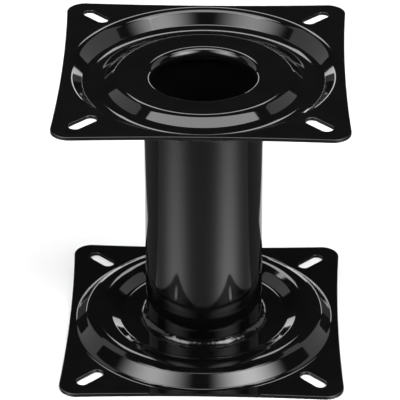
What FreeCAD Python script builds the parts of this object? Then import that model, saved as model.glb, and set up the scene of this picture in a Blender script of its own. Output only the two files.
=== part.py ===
import FreeCAD, Part
import math
import os

# Boat seat pedestal of fixed height: two identical pressed plates, a tube between them and a fillet
# weld round each end of the tube. Millimetres, with +Z up. The origin is the middle of the face that
# the pedestal stands on.

# Whole pedestal
overall_height = 178.0          # mounting face to mounting face

# Tube
tube_diameter = 72.0
tube_wall = 2.0
tube_end_land = 0.4             # flat left at each end, outside the bevel that clears the collar's bend

# Pressed plate, from the middle outwards. Radii and depths are those of its mounting face.
sheet_thickness = 2.0
collar_clearance = 1.0          # between the collar and the inside of the tube
collar_length = 6.5             # collar's end beyond the boss, measured on the mounting face
boss_depth = 3.5                # boss face below the mounting face
boss_ledge = 15.8               # width of the boss outside the tube
boss_wall_run = 7.2             # how far out the sloping wall round the boss reaches
groove_shoulder_depth = 7.65    # where the groove's arched floor meets its two walls
groove_depth = 9.6              # where the floor's two slopes would meet without the bend between them
groove_inner_run = 7.4          # from the inner shoulder out to the middle of the floor
groove_outer_run = 5.6          # from there out to the outer shoulder
outer_wall_run = 7.6            # how far out the wall between groove and flange reaches
boss_edge_bend = 6.0            # bend radii, on the hollow side of each bend
inner_shoulder_bend = 2.5
groove_floor_bend = 12.0
outer_shoulder_bend = 2.5
rim_bend = 5.0

# Flange and its outline
flange_width = 4.3              # from the rim of the groove to the middle of each side
edge_draw_in = 2.6              # how far the pressing pulls in the middle of each side
corner_radius = 11.0
edge_round = 0.4                # rounding that blanking leaves on the outline

# Slots for the screws, one on each diagonal
slot_length = 19.3
slot_width = 7.6
slot_rim_gap = 6.3              # from the foot of the outer wall to the slot

# Welds
weld_leg = 4.0
weld_crown = 0.4                # how far the bead's face stands out from a flat one

# Sizes that follow from those above
tube_radius = tube_diameter / 2
tube_inner_radius = tube_radius - tube_wall
tube_end_bevel = tube_wall - tube_end_land
collar_radius = tube_inner_radius - collar_clearance - sheet_thickness
collar_bend = collar_clearance + tube_end_bevel
boss_radius = tube_radius + boss_ledge
inner_shoulder_radius = boss_radius + boss_wall_run
groove_radius = inner_shoulder_radius + groove_inner_run
outer_shoulder_radius = groove_radius + groove_outer_run
rim_radius = outer_shoulder_radius + outer_wall_run
half_side = rim_radius + flange_width + edge_draw_in
slot_centre_radius = rim_radius + slot_rim_gap + slot_length / 2
seat_height = boss_depth + sheet_thickness
tube_length = overall_height - 2 * seat_height

origin = FreeCAD.Vector(0, 0, 0)
x_axis = FreeCAD.Vector(1, 0, 0)
z_axis = FreeCAD.Vector(0, 0, 1)


def in_section(radius, height):
    """A point of a section that is turned about the Z axis."""
    return FreeCAD.Vector(radius, 0, height)


def turned(edges):
    """Solid of a closed section turned about the Z axis."""
    return Part.Face(Part.Wire(edges)).revolve(origin, z_axis, 360)


def closed_line(points):
    """Straight edges through the points and back to the first."""
    return Part.makePolygon(points + [points[0]]).Edges


def unit_normal(start, end):
    """Unit vector to the left of a run in the section, which is the tube's side of the sheet."""
    along = (end - start).normalize()
    return FreeCAD.Vector(-along.z, 0, along.x)


def bent_face(corners, bends, offset):
    """Edges of one face of a bent sheet.

    The corners lie on the mounting face, where the straight runs would meet. The offset is the distance
    from that face, zero or the sheet's thickness. Each bend has its radius on the hollow side.
    """
    edges = []
    start = corners[0] + unit_normal(corners[0], corners[1]) * offset
    for before, corner, after, bend in zip(corners, corners[1:], corners[2:], bends):
        normal_in = unit_normal(before, corner)
        normal_out = unit_normal(corner, after)
        run_in = (corner - before).normalize()
        run_out = (after - corner).normalize()
        hollow_on_tube_side = normal_in.dot(run_out) > 0
        face_radius = bend + sheet_thickness if hollow_on_tube_side else bend
        side = 1 if hollow_on_tube_side else -1
        tangent = face_radius * math.tan(run_in.getAngle(run_out) / 2)
        centre = corner - run_in * tangent + normal_in * (side * face_radius)
        to_corner = (corner - centre).normalize()
        bend_start = corner - run_in * tangent + normal_in * offset
        bend_end = corner + run_out * tangent + normal_out * offset
        bend_middle = centre + to_corner * (face_radius - side * offset)
        edges.append(Part.LineSegment(start, bend_start).toShape())
        edges.append(Part.Arc(bend_start, bend_middle, bend_end).toShape())
        start = bend_end
    end = corners[-1] + unit_normal(corners[-2], corners[-1]) * offset
    edges.append(Part.LineSegment(start, end).toShape())
    return edges


def pressed_sheet():
    """Round pressing, wider than the plate: collar, boss, groove with an arched floor, and a flat flange."""
    flange_reach = 2 * half_side
    corners = [
        in_section(collar_radius, boss_depth + collar_length),
        in_section(collar_radius, boss_depth),
        in_section(boss_radius, boss_depth),
        in_section(inner_shoulder_radius, groove_shoulder_depth),
        in_section(groove_radius, groove_depth),
        in_section(outer_shoulder_radius, groove_shoulder_depth),
        in_section(rim_radius, 0),
        in_section(flange_reach, 0),
    ]
    bends = [collar_bend, boss_edge_bend, inner_shoulder_bend, groove_floor_bend, outer_shoulder_bend, rim_bend]
    mounting_face = bent_face(corners, bends, 0)
    tube_face = bent_face(corners, bends, sheet_thickness)
    collar_end = Part.LineSegment(mounting_face[0].firstVertex().Point, tube_face[0].firstVertex().Point)
    flange_end = Part.LineSegment(mounting_face[-1].lastVertex().Point, tube_face[-1].lastVertex().Point)
    tube_face.reverse()
    return turned(mounting_face + [flange_end.toShape()] + tube_face + [collar_end.toShape()])


def plate_blank():
    """Square outline with drawn-in sides and rounded corners, as a block tall enough for the pressing."""
    middle = half_side - edge_draw_in
    sides = []
    for quarter in range(4):
        side = Part.Arc(
            FreeCAD.Vector(half_side, -half_side, 0),
            FreeCAD.Vector(middle, 0, 0),
            FreeCAD.Vector(half_side, half_side, 0),
        ).toShape()
        side.rotate(origin, z_axis, 90 * quarter)
        sides.append(side)
    blank_height = seat_height + collar_length + groove_depth
    block = Part.Face(Part.Wire(sides)).extrude(z_axis * blank_height)
    upright = [edge for edge in block.Edges if abs(edge.tangentAt(edge.FirstParameter).z) > 0.9]
    return block.makeFillet(corner_radius, upright)


def slot_tool(quarter):
    """Round-ended slot through the flange, along one diagonal."""
    half_width = slot_width / 2
    half_run = slot_length / 2 - half_width
    inner = slot_centre_radius - half_run
    outer = slot_centre_radius + half_run
    corners = [
        FreeCAD.Vector(inner, -half_width, 0),
        FreeCAD.Vector(outer, -half_width, 0),
        FreeCAD.Vector(outer, half_width, 0),
        FreeCAD.Vector(inner, half_width, 0),
    ]
    outer_tip = FreeCAD.Vector(outer + half_width, 0, 0)
    inner_tip = FreeCAD.Vector(inner - half_width, 0, 0)
    edges = [
        Part.LineSegment(corners[0], corners[1]).toShape(),
        Part.Arc(corners[1], outer_tip, corners[2]).toShape(),
        Part.LineSegment(corners[2], corners[3]).toShape(),
        Part.Arc(corners[3], inner_tip, corners[0]).toShape(),
    ]
    slot = Part.Face(Part.Wire(edges)).extrude(z_axis * sheet_thickness)
    slot.rotate(origin, z_axis, 45 + 90 * quarter)
    return slot


def lower_plate():
    """The pressing cut to its outline, its outer edges rounded and its slots punched."""
    plate = pressed_sheet().common(plate_blank())
    inside_outline = half_side - edge_draw_in - edge_round
    outline = []
    for edge in plate.Edges:
        middle = edge.valueAt((edge.FirstParameter + edge.LastParameter) / 2)
        runs_level = abs(edge.BoundBox.ZLength) < edge_round / 2
        if runs_level and math.hypot(middle.x, middle.y) > inside_outline:
            outline.append(edge)
    plate = plate.makeFillet(edge_round, outline)
    for quarter in range(4):
        plate = plate.cut(slot_tool(quarter))
    return plate


def column_tube():
    """Tube standing on the lower boss, bevelled inside both ends."""
    top = seat_height + tube_length
    section = [
        in_section(tube_radius, seat_height),
        in_section(tube_radius, top),
        in_section(tube_inner_radius + tube_end_bevel, top),
        in_section(tube_inner_radius, top - tube_end_bevel),
        in_section(tube_inner_radius, seat_height + tube_end_bevel),
        in_section(tube_inner_radius + tube_end_bevel, seat_height),
    ]
    return turned(closed_line(section))


def lower_weld_bead():
    """Fillet weld in the corner between the tube and the lower boss, with a crowned face."""
    root = in_section(tube_radius, seat_height)
    toe = in_section(tube_radius + weld_leg, seat_height)
    top = in_section(tube_radius, seat_height + weld_leg)
    outward = FreeCAD.Vector(1, 0, 1).normalize()
    crown = (toe + top) / 2 + outward * weld_crown
    section = [
        Part.LineSegment(root, toe).toShape(),
        Part.Arc(toe, crown, top).toShape(),
        Part.LineSegment(top, root).toShape(),
    ]
    return turned(section)


def turned_over(shape):
    """The same piece at the other end of the pedestal, turned upside down."""
    copy = shape.copy()
    copy.rotate(origin, x_axis, 180)
    copy.translate(z_axis * overall_height)
    return copy


def main():
    plate = lower_plate()
    bead = lower_weld_bead()
    pieces = {
        "lower_plate": plate,
        "upper_plate": turned_over(plate),
        "column_tube": column_tube(),
        "lower_weld_bead": bead,
        "upper_weld_bead": turned_over(bead),
    }
    os.makedirs("parts", exist_ok=True)
    for name, shape in pieces.items():
        shape.exportStep("parts/" + name + ".step")
        print(name, "volume", round(shape.Volume, 1), "valid", shape.isValid(), "solids", len(shape.Solids))


main()
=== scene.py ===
# %% [markdown]
# # A boat seat pedestal in gloss black
# This post carries a seat in a small boat. Two square plates are pressed from steel sheet, a tube stands
# between them, and a weld runs round each end of the tube. The whole thing is then painted gloss black.
# The solids already exist, at their real size, so the lesson starts by loading them. They stay where they
# are, and everything made here is measured against them.

# %% Load the solids
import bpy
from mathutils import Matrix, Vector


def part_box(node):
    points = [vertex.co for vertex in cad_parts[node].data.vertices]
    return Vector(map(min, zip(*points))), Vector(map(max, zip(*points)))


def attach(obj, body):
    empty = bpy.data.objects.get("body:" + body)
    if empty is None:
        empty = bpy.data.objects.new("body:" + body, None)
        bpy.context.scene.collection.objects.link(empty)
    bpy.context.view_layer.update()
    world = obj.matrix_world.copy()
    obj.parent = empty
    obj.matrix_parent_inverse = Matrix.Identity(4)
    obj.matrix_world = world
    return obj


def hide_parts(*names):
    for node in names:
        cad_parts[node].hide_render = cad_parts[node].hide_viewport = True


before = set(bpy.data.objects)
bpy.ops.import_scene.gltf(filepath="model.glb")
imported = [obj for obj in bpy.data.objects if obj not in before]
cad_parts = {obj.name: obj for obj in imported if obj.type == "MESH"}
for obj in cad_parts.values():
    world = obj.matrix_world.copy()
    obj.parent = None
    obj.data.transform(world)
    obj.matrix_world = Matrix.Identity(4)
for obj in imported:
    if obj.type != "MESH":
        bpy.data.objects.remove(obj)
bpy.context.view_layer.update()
print("solids:", sorted(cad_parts))

# %% [markdown]
# A maker works in millimetres, and Blender in metres, so every size below is a number of millimetres times
# MM. The main sizes are read from the solids: the tube's box gives its radius and the height of the face
# that it stands on, and the box of the upper plate gives the height of the pedestal.

# %% Main sizes
import math
import bmesh
import bpy
from mathutils import Matrix, Vector

MM = 0.001
tube_low, tube_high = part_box("column_tube")
tube_radius = tube_high.x
seat_height = tube_low.z
pedestal_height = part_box("upper_plate")[1].z
print("tube radius", round(tube_radius, 4), "pedestal height", round(pedestal_height, 4))

# %% [markdown]
# The camera comes next, because every later choice is judged through it. It looks down on the pedestal by
# about thirty degrees from far away, with a long lens, so the plates keep nearly the same size front and
# back. Its place is worked out from two angles and a distance, as a photographer would note them.

# %% Camera
CAMERA_TURN = math.radians(1.37)
CAMERA_RISE = math.radians(30.56)
CAMERA_ROLL = math.radians(-0.15)
CAMERA_DISTANCE = 1618 * MM
CAMERA_TARGET = Vector((-2.27 * MM, 0, 87.4 * MM))
LENS_MILLIMETRES = 238.7
SENSOR_MILLIMETRES = 36
CAMERA_REACH = 20  # metres


def direction_from(turn, rise):
    """Unit vector from the pedestal. Turn is from the front towards +X, and rise is from level."""
    level = math.cos(rise)
    return Vector((math.sin(turn) * level, -math.cos(turn) * level, math.sin(rise)))


def looking_at(place, target, roll=0):
    """Matrix of a camera or lamp at a place, pointing its -Z axis at the target."""
    turn = (target - place).to_track_quat("-Z", "Y").to_matrix()
    return Matrix.Translation(place) @ (turn @ Matrix.Rotation(roll, 3, "Z")).to_4x4()


camera_data = bpy.data.cameras.new("photo_camera")
camera_data.lens = LENS_MILLIMETRES
camera_data.sensor_width = SENSOR_MILLIMETRES
camera_data.clip_end = CAMERA_REACH
camera = bpy.data.objects.new("photo_camera", camera_data)
bpy.context.scene.collection.objects.link(camera)
camera_place = CAMERA_TARGET + direction_from(CAMERA_TURN, CAMERA_RISE) * CAMERA_DISTANCE
camera.matrix_world = looking_at(camera_place, CAMERA_TARGET, CAMERA_ROLL)
bpy.context.scene.camera = camera
print("camera at", [round(value, 3) for value in camera_place])

# %% [markdown]
# The paint is a gloss enamel, sprayed or dipped over everything. Close up it is never quite flat: it dries
# with a fine skin like orange peel, and lies over sheet that the press left very slightly wavy. Both go
# into the bump. The colour stays nearly black and changes a little from place to place, and so does the
# gloss. The pattern reads Object coordinates, so it stays on the steel.

# %% Gloss black paint
PAINT_DEEP = (0.0015, 0.0015, 0.0016, 1)
PAINT_THIN = (0.0036, 0.0034, 0.0033, 1)
ENAMEL_IOR = 1.52
COLOUR_NOISE = {"scale": 45, "detail": 3}
GLOSS_NOISE = {"scale": 120, "detail": 4}
WAVE_NOISE = {"scale": 14, "detail": 1}
PEEL_NOISE = {"scale": 420, "detail": 2}
SHEET_WAVE_DEPTH = 0.02 * MM
NOISE_LOW, NOISE_HIGH = 0.3, 0.7


def add_node(tree, kind, **settings):
    """A new node with its properties set by name."""
    node = tree.nodes.new(kind)
    for name, value in settings.items():
        setattr(node, name, value)
    return node


def noise(tree, coordinates, scale, detail):
    """Noise on the piece's own coordinates. The scale is in features to the metre."""
    node = add_node(tree, "ShaderNodeTexNoise")
    node.inputs["Scale"].default_value = scale
    node.inputs["Detail"].default_value = detail
    tree.links.new(coordinates, node.inputs["Vector"])
    return node.outputs["Fac"]


def spread(tree, value, low, high):
    """The middle of a noise stretched to a range."""
    node = add_node(tree, "ShaderNodeMapRange")
    node.inputs["From Min"].default_value = NOISE_LOW
    node.inputs["From Max"].default_value = NOISE_HIGH
    node.inputs["To Min"].default_value = low
    node.inputs["To Max"].default_value = high
    tree.links.new(value, node.inputs["Value"])
    return node.outputs["Result"]


def bump(tree, height, depth, below=None):
    """Bump of a real depth in metres, laid over the bump below it."""
    node = add_node(tree, "ShaderNodeBump")
    node.inputs["Strength"].default_value = 1
    node.inputs["Distance"].default_value = depth
    tree.links.new(height, node.inputs["Height"])
    if below is not None:
        tree.links.new(below, node.inputs["Normal"])
    return node.outputs["Normal"]


def gloss_black(name, peel_depth, smoothest, roughest):
    """Gloss black paint, with its skin as deep and its gloss as even as the piece shows."""
    material = bpy.data.materials.new(name)
    material.use_nodes = True
    tree = material.node_tree
    shader = tree.nodes["Principled BSDF"]
    shader.inputs["IOR"].default_value = ENAMEL_IOR
    coordinates = add_node(tree, "ShaderNodeTexCoord").outputs["Object"]
    colour = add_node(tree, "ShaderNodeMix", data_type="RGBA")
    colour.inputs["A"].default_value = PAINT_DEEP
    colour.inputs["B"].default_value = PAINT_THIN
    tree.links.new(noise(tree, coordinates, **COLOUR_NOISE), colour.inputs["Factor"])
    tree.links.new(colour.outputs["Result"], shader.inputs["Base Color"])
    gloss = spread(tree, noise(tree, coordinates, **GLOSS_NOISE), smoothest, roughest)
    tree.links.new(gloss, shader.inputs["Roughness"])
    waves = bump(tree, noise(tree, coordinates, **WAVE_NOISE), SHEET_WAVE_DEPTH)
    peel = bump(tree, noise(tree, coordinates, **PEEL_NOISE), peel_depth, waves)
    tree.links.new(peel, shader.inputs["Normal"])
    return material


plate_paint = gloss_black("gloss_black_on_sheet", peel_depth=0.002 * MM, smoothest=0.03, roughest=0.07)
tube_paint = gloss_black("gloss_black_on_tube", peel_depth=0.002 * MM, smoothest=0.05, roughest=0.1)
weld_paint = gloss_black("gloss_black_on_weld", peel_depth=0.008 * MM, smoothest=0.06, roughest=0.12)
print("paints:", [paint.name for paint in (plate_paint, tube_paint, weld_paint)])

# %% [markdown]
# Each plate begins as flat sheet. A press draws a ring groove into it, leaves a boss in the middle, and
# rolls the edge of the hole into a collar that sits inside the tube. A cut through the middle shows one
# line of constant thickness, bent six times: the floor of the groove is an arch between two shoulders. So
# the cut is drawn first: corners where the straight runs would meet, and a radius for each bend. A short
# straight piece stays beside each bend, which keeps the reflections on the flats true.

# %% The plate's cut
SHEET = 2 * MM
COLLAR_RADIUS = 31 * MM
COLLAR_END = 10 * MM
BOSS_DEPTH = 3.5 * MM
BOSS_RADIUS = 51.8 * MM
SHOULDER_DEPTH = 7.65 * MM
INNER_SHOULDER = 59 * MM
OUTER_SHOULDER = 72 * MM
GROOVE_DEPTH = 9.6 * MM
GROOVE_RADIUS = 66.4 * MM
RIM_RADIUS = 79.6 * MM
BENDS = [2.6 * MM, 6 * MM, 2.5 * MM, 12 * MM, 2.5 * MM, 5 * MM]
FLAT_FROM = RIM_RADIUS + 3.3 * MM
EDGE_ROUND = 0.35 * MM
SUPPORT = 0.3 * MM
ARC_STEPS = 10
EDGE_STEPS = 4


def arc(centre, start, end, steps):
    """Points of a circular arc from start to end about a centre, both ends left out."""
    first = start - centre
    angle = first.angle_signed(end - centre)
    turns = [Matrix.Rotation(-angle * step / steps, 2) for step in range(1, steps)]
    return [centre + turn @ first for turn in turns]


def straight(start, end):
    """A straight run with a support point near each end."""
    along = (end - start).normalized() * min(SUPPORT, (end - start).length / 3)
    return [start, start + along, end - along, end]


def bent_line(corners, bends, offset):
    """One face of the bent sheet, as points of radius and height, from the collar to the flange."""
    points = []
    start = corners[0] + (corners[1] - corners[0]).normalized().orthogonal() * offset
    for before, corner, after, bend in zip(corners, corners[1:], corners[2:], bends):
        run_in = (corner - before).normalized()
        run_out = (after - corner).normalized()
        side = 1 if run_in.orthogonal().dot(run_out) > 0 else -1
        radius = bend + SHEET if side > 0 else bend
        tangent = radius * math.tan(run_in.angle(run_out) / 2)
        centre = corner - run_in * tangent + run_in.orthogonal() * side * radius
        bend_start = corner - run_in * tangent + run_in.orthogonal() * offset
        bend_end = corner + run_out * tangent + run_out.orthogonal() * offset
        points += straight(start, bend_start) + arc(centre, bend_start, bend_end, ARC_STEPS)
        start = bend_end
    last = corners[-1] + (corners[-1] - corners[-2]).normalized().orthogonal() * offset
    return points + straight(start, last)


def plate_cut():
    """The cut from the flange's lower face, in to the collar, and out again on the tube's side."""
    corners = [
        Vector((COLLAR_RADIUS, COLLAR_END)),
        Vector((COLLAR_RADIUS, BOSS_DEPTH)),
        Vector((BOSS_RADIUS, BOSS_DEPTH)),
        Vector((INNER_SHOULDER, SHOULDER_DEPTH)),
        Vector((GROOVE_RADIUS, GROOVE_DEPTH)),
        Vector((OUTER_SHOULDER, SHOULDER_DEPTH)),
        Vector((RIM_RADIUS, 0)),
        Vector((FLAT_FROM, 0)),
    ]
    mounting_face = bent_line(corners, BENDS, 0)
    tube_face = bent_line(corners, BENDS, SHEET)
    mounting_face[0].y -= EDGE_ROUND
    tube_face[0].y -= EDGE_ROUND
    inner_centre = mounting_face[0] + Vector((EDGE_ROUND, 0))
    outer_centre = tube_face[0] - Vector((EDGE_ROUND, 0))
    up = Vector((0, EDGE_ROUND))
    end_round = arc(inner_centre, mounting_face[0], inner_centre + up, EDGE_STEPS)
    end_round += [inner_centre + up, outer_centre + up]
    end_round += arc(outer_centre, outer_centre + up, tube_face[0], EDGE_STEPS)
    return mounting_face[::-1] + end_round + tube_face


section = plate_cut()
print("plate section:", len(section), "points")

# %% [markdown]
# A press tool for a round form is turned on a lathe, and the mesh can be turned in the same way. This node
# tree takes a cut drawn as points and turns it about the Z axis: a grid gets one column for each point of
# the cut and one row for each step round the circle, and every vertex is moved to its point, turned by its
# row's angle. The same tree makes the plates, the tube and the weld.

# %% Node tree that turns a cut
TURN_STEPS = 384
CLOSE_WITHIN = 0.001 * MM


def new_tree(name, inputs):
    """A geometry tree with a geometry input and output and some named inputs."""
    tree = bpy.data.node_groups.new(name, "GeometryNodeTree")
    tree.interface.new_socket("Geometry", in_out="INPUT", socket_type="NodeSocketGeometry")
    tree.interface.new_socket("Geometry", in_out="OUTPUT", socket_type="NodeSocketGeometry")
    for label, kind in inputs:
        tree.interface.new_socket(label, in_out="INPUT", socket_type="NodeSocket" + kind)
    return tree, add_node(tree, "NodeGroupInput"), add_node(tree, "NodeGroupOutput")


def math_node(tree, operation, first, second=None):
    """One step of arithmetic on sockets or numbers."""
    node = add_node(tree, "ShaderNodeMath", operation=operation)
    for value, socket in zip((first, second), node.inputs):
        if isinstance(value, (int, float)):
            socket.default_value = value
        elif value is not None:
            tree.links.new(value, socket)
    return node.outputs[0]


def finish_tree(tree, given, result, geometry):
    """Smooth faces, real geometry and the chosen paint."""
    smooth = add_node(tree, "GeometryNodeSetShadeSmooth")
    realize = add_node(tree, "GeometryNodeRealizeInstances")
    paint = add_node(tree, "GeometryNodeSetMaterial")
    tree.links.new(geometry, smooth.inputs["Geometry"])
    tree.links.new(smooth.outputs[0], realize.inputs[0])
    tree.links.new(realize.outputs[0], paint.inputs["Geometry"])
    tree.links.new(given.outputs["Paint"], paint.inputs["Material"])
    tree.links.new(paint.outputs[0], result.inputs[0])


def turning_tree():
    """Tree that turns the points of a cut about the Z axis."""
    tree, given, result = new_tree("Turned from a cut", [("Steps", "Int"), ("Paint", "Material")])
    size = add_node(tree, "GeometryNodeAttributeDomainSize")
    tree.links.new(given.outputs["Geometry"], size.inputs[0])
    rows = math_node(tree, "ADD", given.outputs["Steps"], 1)
    grid = add_node(tree, "GeometryNodeMeshGrid")
    tree.links.new(size.outputs["Point Count"], grid.inputs["Vertices X"])
    tree.links.new(rows, grid.inputs["Vertices Y"])
    index = add_node(tree, "GeometryNodeInputIndex").outputs[0]
    index_middle = math_node(tree, "ADD", index, 0.5)
    column = math_node(tree, "FLOOR", math_node(tree, "DIVIDE", index_middle, rows))
    row = math_node(tree, "SUBTRACT", index, math_node(tree, "MULTIPLY", column, rows))
    part_turn = math_node(tree, "DIVIDE", row, given.outputs["Steps"])
    angle = math_node(tree, "MULTIPLY", part_turn, 2 * math.pi)
    point = add_node(tree, "GeometryNodeSampleIndex", data_type="FLOAT_VECTOR", domain="POINT")
    place = add_node(tree, "GeometryNodeInputPosition").outputs[0]
    tree.links.new(given.outputs["Geometry"], point.inputs["Geometry"])
    tree.links.new(place, point.inputs["Value"])
    tree.links.new(column, point.inputs["Index"])
    turn = add_node(tree, "ShaderNodeVectorRotate", rotation_type="Z_AXIS")
    tree.links.new(point.outputs["Value"], turn.inputs["Vector"])
    tree.links.new(angle, turn.inputs["Angle"])
    move = add_node(tree, "GeometryNodeSetPosition")
    tree.links.new(grid.outputs["Mesh"], move.inputs["Geometry"])
    tree.links.new(turn.outputs["Vector"], move.inputs["Position"])
    close = add_node(tree, "GeometryNodeMergeByDistance")
    close.inputs["Distance"].default_value = CLOSE_WITHIN
    tree.links.new(move.outputs[0], close.inputs["Geometry"])
    finish_tree(tree, given, result, close.outputs[0])
    return tree


def mesh_from_tree(name, points, trees):
    """Plain mesh that trees make from points in space. Each tree comes with its named inputs."""
    mesh = bpy.data.meshes.new(name + "_cut")
    mesh.from_pydata(points, [], [])
    source = bpy.data.objects.new(name + "_cut", mesh)
    bpy.context.scene.collection.objects.link(source)
    for tree, values in trees:
        modifier = source.modifiers.new(tree.name, "NODES")
        modifier.node_group = tree
        inputs = [item for item in tree.interface.items_tree if item.in_out == "INPUT"]
        sockets = {item.name: item.identifier for item in inputs}
        for label, value in values.items():
            modifier[sockets[label]] = value
    depsgraph = bpy.context.evaluated_depsgraph_get()
    made = bpy.data.meshes.new_from_object(source.evaluated_get(depsgraph))
    source.modifiers.clear()
    bpy.data.objects.remove(source)
    return made


turning = turning_tree()
cut_in_space = [(point.x, 0, point.y) for point in section]
pressing_values = {"Steps": TURN_STEPS, "Paint": plate_paint}
pressing = mesh_from_tree("pressing", cut_in_space, [(turning, pressing_values)])
print("pressing:", len(pressing.polygons), "faces")

# %% [markdown]
# Round the pressing lies the flat flange. Its sides are drawn in a little, because the press pulls sheet
# towards the groove, and its corners are rounded. A slot for a screw runs along each diagonal. Blanking
# and paint leave every edge slightly round. A boolean would leave ragged edges here, so each edge is a
# strip of faces that follows its outline, and the flats between the strips are filled.

# %% The flange
HALF_SIDE = 86.5 * MM
DRAW_IN = 2.6 * MM
CORNER_RADIUS = 11 * MM
SLOT_CENTRE = 95.55 * MM
SLOT_LENGTH = 19.3 * MM
SLOT_WIDTH = 7.6 * MM
SIDE_STEPS = 48
CORNER_STEPS = 16
JOIN_WITHIN = 0.002 * MM


def outline():
    """Points of the plate's outline, each with the direction into the sheet."""
    middle = HALF_SIDE - DRAW_IN
    side_radius = (HALF_SIDE ** 2 + DRAW_IN ** 2) / (2 * DRAW_IN)
    side_centre = Vector((middle + side_radius, 0))
    reach = side_radius + CORNER_RADIUS
    corner = (side_centre.x - math.sqrt(2 * reach ** 2 - side_centre.x ** 2)) / 2
    corner_centre = Vector((corner, corner))
    half_angle = math.asin(corner / reach)
    points = []
    for quarter in range(4):
        turn = Matrix.Rotation(math.pi / 2 * quarter, 2)
        for step in range(SIDE_STEPS):
            angle = half_angle * (2 * step / SIDE_STEPS - 1)
            inward = Vector((-math.cos(angle), math.sin(angle)))
            points.append((turn @ (side_centre + inward * side_radius), turn @ inward))
        for step in range(CORNER_STEPS):
            angle = -half_angle + (math.pi / 2 + 2 * half_angle) * step / CORNER_STEPS
            outward = Vector((math.cos(angle), math.sin(angle)))
            points.append((turn @ (corner_centre + outward * CORNER_RADIUS), turn @ -outward))
    return points


def slot_outline(quarter):
    """Points of one slot's edge, each with the direction into the sheet."""
    half_width = SLOT_WIDTH / 2
    half_run = SLOT_LENGTH / 2 - half_width
    turn = Matrix.Rotation(math.pi / 2 * (quarter + 0.5), 2)
    points = []
    for end in (1, -1):
        for step in range(CORNER_STEPS + 1):
            angle = math.pi * (step / CORNER_STEPS - 0.5)
            outward = Vector((math.cos(angle), math.sin(angle))) * end
            place = Vector((SLOT_CENTRE + half_run * end, 0)) + outward * half_width
            points.append((turn @ place, turn @ outward))
    return points


def edge_profile():
    """Steps from the lower flat round the sheet's edge to the upper flat.

    Each step is a distance in from the edge and a height.
    """
    lower = [(EDGE_ROUND + SUPPORT, 0)]
    for step in range(EDGE_STEPS + 1):
        angle = math.pi / 2 * step / EDGE_STEPS
        lower.append((EDGE_ROUND * (1 - math.sin(angle)), EDGE_ROUND * (1 - math.cos(angle))))
    return lower + [(inset, SHEET - height) for inset, height in reversed(lower)]


def ring(mesh, points):
    """Vertices through the points, joined into a closed ring of edges."""
    vertices = [mesh.verts.new(point) for point in points]
    edges = [mesh.edges.new((a, b)) for a, b in zip(vertices, vertices[1:] + vertices[:1])]
    return vertices, edges


def edge_strip(mesh, edge):
    """Rounded strip along one outline. Returns its lowest and highest rings of edges."""
    rings = []
    for inset, height in edge_profile():
        places = [point + inward * inset for point, inward in edge]
        rings.append(ring(mesh, [(place.x, place.y, height) for place in places]))
    for (lower, _), (upper, _) in zip(rings, rings[1:]):
        for here in range(len(lower)):
            there = (here + 1) % len(lower)
            mesh.faces.new((lower[here], lower[there], upper[there], upper[here]))
    return rings[0][1], rings[-1][1]


def flange(mesh):
    """The flange: edge, four slots and two flats, left open where the pressing joins it."""
    lower_edges, upper_edges = edge_strip(mesh, outline())
    for quarter in range(4):
        lower, upper = edge_strip(mesh, slot_outline(quarter))
        lower_edges += lower
        upper_edges += upper
    angles = [2 * math.pi * step / TURN_STEPS for step in range(TURN_STEPS)]
    for height, edges in ((0, lower_edges), (SHEET, upper_edges)):
        circle = [(FLAT_FROM * math.cos(a), FLAT_FROM * math.sin(a), height) for a in angles]
        bmesh.ops.triangle_fill(mesh, use_beauty=True, edges=edges + ring(mesh, circle)[1])


def pressed_plate():
    """Closed mesh of the lower plate: the pressing and the flange, joined where they meet."""
    mesh = bmesh.new()
    mesh.from_mesh(pressing)
    flange(mesh)
    bmesh.ops.remove_doubles(mesh, verts=mesh.verts, dist=JOIN_WITHIN)
    bmesh.ops.recalc_face_normals(mesh, faces=mesh.faces)
    for face in mesh.faces:
        face.smooth = True
    open_edges = sum(1 for edge in mesh.edges if not edge.is_manifold)
    data = bpy.data.meshes.new("pressed_plate")
    mesh.to_mesh(data)
    mesh.free()
    data.materials.clear()
    data.materials.append(plate_paint)
    print("plate:", len(data.polygons), "faces,", open_edges, "open edges")
    return data


def add_piece(name, mesh, node):
    """A finished piece that stands for a solid and rides on the pedestal's one body."""
    piece = bpy.data.objects.new(name, mesh)
    bpy.context.scene.collection.objects.link(piece)
    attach(piece, "root")
    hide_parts(node)
    return piece


def turned_over(mesh):
    """The same mesh at the top of the pedestal, upside down."""
    copy = mesh.copy()
    copy.transform(Matrix.Translation((0, 0, pedestal_height)) @ Matrix.Rotation(math.pi, 4, "X"))
    return copy


lower_plate = pressed_plate()
add_piece("painted_lower_plate", lower_plate, "lower_plate")
add_piece("painted_upper_plate", turned_over(lower_plate), "upper_plate")

# %% [markdown]
# The tube is welded steel tube, sawn to length. Its ends stand on the two bosses. The same turning tree
# makes it from a cut of its wall, with the bevel that clears the collar.

# %% The tube
TUBE_WALL = 2 * MM
TUBE_BEVEL = 1.6 * MM


def tube_cut():
    """Closed cut of the tube's wall."""
    inner = tube_radius - TUBE_WALL
    corners = [
        Vector((tube_radius, tube_low.z)),
        Vector((tube_radius, tube_high.z)),
        Vector((inner + TUBE_BEVEL, tube_high.z)),
        Vector((inner, tube_high.z - TUBE_BEVEL)),
        Vector((inner, tube_low.z + TUBE_BEVEL)),
        Vector((inner + TUBE_BEVEL, tube_low.z)),
    ]
    points = []
    for start, end in zip(corners, corners[1:] + corners[:1]):
        points += straight(start, end)[:-1]
    return points + points[:1]


def outward(mesh):
    """The mesh with its faces turned outwards."""
    shell = bmesh.new()
    shell.from_mesh(mesh)
    bmesh.ops.recalc_face_normals(shell, faces=shell.faces)
    shell.to_mesh(mesh)
    shell.free()
    return mesh


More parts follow.
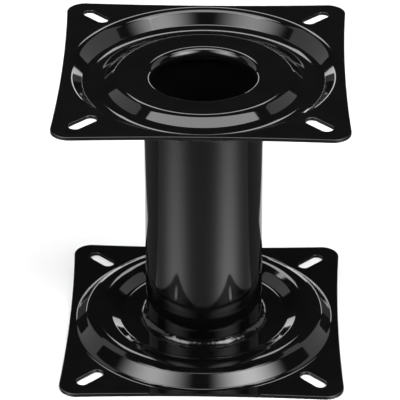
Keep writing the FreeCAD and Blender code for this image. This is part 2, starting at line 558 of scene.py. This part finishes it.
tube_points = [(point.x, 0, point.y) for point in tube_cut()]
tube_values = {"Steps": TURN_STEPS, "Paint": tube_paint}
tube = outward(mesh_from_tree("tube", tube_points, [(turning, tube_values)]))
add_piece("painted_tube", tube, "column_tube")
print("tube:", len(tube.polygons), "faces")

# %% [markdown]
# A fillet weld fills the corner between tube and boss. Seen close, it is a row of small overlapping waves,
# one for each pulse of the welder's hand, and its edge wanders a little. The plain ring comes from the
# turning tree again. A second tree then pushes its face out and in along its normals: waves that follow
# the angle round the tube, bent back towards the bead's edges, and slow noise for the unsteady hand.

# %% Node tree for the weld's waves
WELD_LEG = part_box("lower_weld_bead")[1].x - tube_radius
WELD_CROWN = 0.8 * MM
WELD_FACE_STEPS = 18
WELD_TURN_STEPS = 1080
HAND_NOISE_SCALE = 100  # features to the metre
HAND_NOISE_DETAIL = 2
WAVE_MIDDLE = 0.45      # share of the bead's height where a wave turns back
WAVE_BEND_BACK = 4      # in waves, times the square of the distance from there
WAVE_UNEVENNESS = 5     # in waves, times the noise of the unsteady hand


def weld_cut():
    """Closed cut of the weld: its corner, its two legs and its crowned face."""
    root = Vector((tube_radius, seat_height))
    toe = root + Vector((WELD_LEG, 0))
    top = root + Vector((0, WELD_LEG))
    half_face = (toe - top).length / 2
    radius = (half_face ** 2 + WELD_CROWN ** 2) / (2 * WELD_CROWN)
    outward_way = Vector((1, 1)).normalized()
    centre = (toe + top) / 2 + outward_way * (WELD_CROWN - radius)
    return [root, toe] + arc(centre, toe, top, WELD_FACE_STEPS) + [top, root]


def weld_tree():
    """Tree that gives a plain ring of weld its waves."""
    inputs = [("Waves", "Float"), ("Wave height", "Float"), ("Wander", "Float"), ("Seed", "Float")]
    tree, given, result = new_tree("Waves of a weld", inputs + [("Paint", "Material")])
    place = add_node(tree, "GeometryNodeInputPosition").outputs[0]
    parts = add_node(tree, "ShaderNodeSeparateXYZ")
    tree.links.new(place, parts.inputs[0])
    angle = math_node(tree, "ARCTAN2", parts.outputs["Y"], parts.outputs["X"])
    slow = add_node(tree, "ShaderNodeTexNoise", noise_dimensions="4D")
    slow.inputs["Scale"].default_value = HAND_NOISE_SCALE
    slow.inputs["Detail"].default_value = HAND_NOISE_DETAIL
    tree.links.new(place, slow.inputs["Vector"])
    tree.links.new(given.outputs["Seed"], slow.inputs["W"])
    unsteady = math_node(tree, "SUBTRACT", slow.outputs["Fac"], 0.5)
    above_seat = math_node(tree, "SUBTRACT", parts.outputs["Z"], seat_height)
    across = math_node(tree, "DIVIDE", above_seat, WELD_LEG)
    off_middle = math_node(tree, "SUBTRACT", across, WAVE_MIDDLE)
    squared = math_node(tree, "MULTIPLY", off_middle, off_middle)
    bend_back = math_node(tree, "MULTIPLY", squared, WAVE_BEND_BACK)
    turns = math_node(tree, "DIVIDE", angle, 2 * math.pi)
    count = math_node(tree, "MULTIPLY", turns, given.outputs["Waves"])
    phase = math_node(tree, "ADD", count, bend_back)
    phase = math_node(tree, "ADD", phase, math_node(tree, "MULTIPLY", unsteady, WAVE_UNEVENNESS))
    swing = math_node(tree, "SINE", math_node(tree, "MULTIPLY", phase, math.pi))
    wave = math_node(tree, "ABSOLUTE", swing)
    rise = math_node(tree, "MULTIPLY", wave, given.outputs["Wave height"])
    drift = math_node(tree, "MULTIPLY", unsteady, given.outputs["Wander"])
    height = math_node(tree, "ADD", rise, drift)
    scale = add_node(tree, "ShaderNodeVectorMath", operation="SCALE")
    tree.links.new(add_node(tree, "GeometryNodeInputNormal").outputs[0], scale.inputs[0])
    tree.links.new(height, scale.inputs["Scale"])
    move = add_node(tree, "GeometryNodeSetPosition")
    tree.links.new(given.outputs["Geometry"], move.inputs["Geometry"])
    tree.links.new(scale.outputs[0], move.inputs["Offset"])
    finish_tree(tree, given, result, move.outputs[0])
    return tree


weld_points = [(point.x, 0, point.y) for point in weld_cut()]
ring_values = {"Steps": WELD_TURN_STEPS, "Paint": weld_paint}
wave_values = {
    "Waves": 60.0,
    "Wave height": 0.02 * MM,
    "Wander": 1.1 * MM,
    "Seed": 3.0,
    "Paint": weld_paint,
}
weld_trees = [(turning, ring_values), (weld_tree(), wave_values)]
weld = outward(mesh_from_tree("weld", weld_points, weld_trees))
add_piece("painted_lower_weld", weld, "lower_weld_bead")
add_piece("painted_upper_weld", turned_over(weld), "upper_weld_bead")
print("weld:", len(weld.polygons), "faces")

# %% [markdown]
# The floor is a plain pale sheet. It is part of the stage, not of the pedestal. A shiny black tube would
# show nothing but that white floor, so reflections see three other sheets in its place, a hair above it so
# that the lamps still light them. A satin one lies in front, so that the tube mirrors the lamps and keeps a
# dark band down its middle. A dull dark one lies behind, and a narrow white one on it draws a bright line
# down each side of the tube.

# %% Floor
FLOOR_REACH = 4.0       # metres from the pedestal
CARD_HALF_WIDTH = 0.12
CARD_FRONT, CARD_BACK = 0.09, 1.2
PALE, SATIN, DARK = 0.85, 0.62, 0.05  # greys of the sheets
DULL = 0.9              # roughness of all sheets but the satin one
SATIN_ROUGHNESS = 0.3
SATIN_METAL = 0.85
LOW_SHEET, HIGH_SHEET = 0.3 * MM, 0.5 * MM


def floor_sheet(name, half_width, front, back, colour, roughness=DULL, metallic=0, height=0):
    """Level sheet at or just above the height of the floor. Its sizes are in metres."""
    mesh = bpy.data.meshes.new(name)
    places = [(-half_width, front), (half_width, front), (half_width, back), (-half_width, back)]
    mesh.from_pydata([(x, y, height) for x, y in places], [], [(0, 1, 2, 3)])
    material = bpy.data.materials.new(name)
    material.use_nodes = True
    shader = material.node_tree.nodes["Principled BSDF"]
    shader.inputs["Base Color"].default_value = (colour, colour, colour, 1)
    shader.inputs["Roughness"].default_value = roughness
    shader.inputs["Metallic"].default_value = metallic
    mesh.materials.append(material)
    sheet = bpy.data.objects.new(name, mesh)
    bpy.context.scene.collection.objects.link(sheet)
    return sheet


def only_in_reflections(sheet):
    """Hides a sheet from everything but the reflections in the paint."""
    sheet.visible_camera = False
    sheet.visible_diffuse = False
    sheet.visible_transmission = False
    sheet.visible_shadow = False


pale_floor = floor_sheet("pale_floor", FLOOR_REACH, -FLOOR_REACH, FLOOR_REACH, PALE)
pale_floor.visible_glossy = False
satin_floor = floor_sheet(
    "satin_floor", FLOOR_REACH, -FLOOR_REACH, 0, SATIN, SATIN_ROUGHNESS, SATIN_METAL, HIGH_SHEET
)
dull_floor = floor_sheet("dull_floor", FLOOR_REACH, 0, FLOOR_REACH, DARK, height=LOW_SHEET)
white_card = floor_sheet("white_card", CARD_HALF_WIDTH, CARD_FRONT, CARD_BACK, PALE, height=HIGH_SHEET)
for sheet in (satin_floor, dull_floor, white_card):
    only_in_reflections(sheet)

# %% [markdown]
# Black gloss paint shows little but reflections, so the lamps are what draw the shape. Two big soft boxes
# stand to the left and right of the camera, brightest in the middle, and a dim one stands at each side.
# The roof of the studio carries one soft box right above the pedestal and another further back, and two
# long low ones stand far behind. The flats mirror the dark between these, so they stay black, and each
# bend draws a thin bright line where it turns towards a lamp.

# %% Lamps
LAMP_TARGET = Vector((0, 0, 100 * MM))
ROOF = 1.3              # metres above the floor
STAND_DISTANCE = 1.5    # metres from the target to a soft box
BACK_DISTANCE = 3
STUDIO_DARK = (0.02, 0.02, 0.02, 1)


def area_lamp(name, place, width, depth, brightness):
    """Oblong lamp of even brightness that faces the pedestal. Sizes are in metres."""
    data = bpy.data.lights.new(name, "AREA")
    data.shape = "RECTANGLE"
    data.size = width
    data.size_y = depth
    data.energy = brightness * math.pi * width * depth
    lamp = bpy.data.objects.new(name, data)
    bpy.context.scene.collection.objects.link(lamp)
    lamp.matrix_world = looking_at(place, LAMP_TARGET)
    lamp.visible_camera = False
    return lamp


def soft_box(name, turn, rise, width, height, brightness, distance=STAND_DISTANCE):
    """Lamp on a stand, placed by two angles in degrees."""
    away = direction_from(math.radians(turn), math.radians(rise)) * distance
    return area_lamp(name, LAMP_TARGET + away, width, height, brightness)


def roof_lamp(name, left, right, front, back, brightness):
    """Lamp in the roof, facing straight down. Its edges are in metres from the pedestal's axis."""
    place = Vector(((left + right) / 2, (front + back) / 2, ROOF))
    lamp = area_lamp(name, place, right - left, back - front, brightness)
    lamp.matrix_world = Matrix.Translation(place)
    return lamp


def fade_out(lamp):
    """Makes a lamp brightest in the middle, fading towards its edge."""
    lamp.data.use_nodes = True
    tree = lamp.data.node_tree
    centred = add_node(tree, "ShaderNodeVectorMath", operation="SUBTRACT")
    centred.inputs[1].default_value = (0.5, 0.5, 0)
    tree.links.new(add_node(tree, "ShaderNodeNewGeometry").outputs["Parametric"], centred.inputs[0])
    length = add_node(tree, "ShaderNodeVectorMath", operation="LENGTH")
    tree.links.new(centred.outputs["Vector"], length.inputs[0])
    fade = add_node(tree, "ShaderNodeMapRange", interpolation_type="SMOOTHSTEP")
    fade.inputs["From Max"].default_value = 0.5
    fade.inputs["To Min"].default_value = 1
    fade.inputs["To Max"].default_value = 0
    tree.links.new(length.outputs["Value"], fade.inputs["Value"])
    tree.links.new(fade.outputs["Result"], tree.nodes["Emission"].inputs["Strength"])


front_box = {"rise": 46, "width": 1.7, "height": 1.8}
fade_out(soft_box("left_box", turn=-54, brightness=8, **front_box))
fade_out(soft_box("right_box", turn=49, brightness=11, **front_box))
side_box = {"rise": 30, "width": 0.85, "height": 1.3, "brightness": 0.75}
soft_box("left_side_box", turn=-122, **side_box)
soft_box("right_side_box", turn=122, **side_box)
back_box = {"rise": 5, "width": 1.65, "height": 0.4, "brightness": 3, "distance": BACK_DISTANCE}
soft_box("left_back_box", turn=-158, **back_box)
soft_box("right_back_box", turn=158, **back_box)
roof_lamp("roof_box", left=-0.68, right=0.7, front=-0.27, back=0.26, brightness=5)
roof_lamp("roof_back_box", left=-0.42, right=0.3, front=1.15, back=1.58, brightness=4.5)
world = bpy.data.worlds.new("studio")
world.use_nodes = True
world.node_tree.nodes["Background"].inputs["Color"].default_value = STUDIO_DARK
bpy.context.scene.world = world
bpy.context.scene.view_settings.view_transform = "Standard"
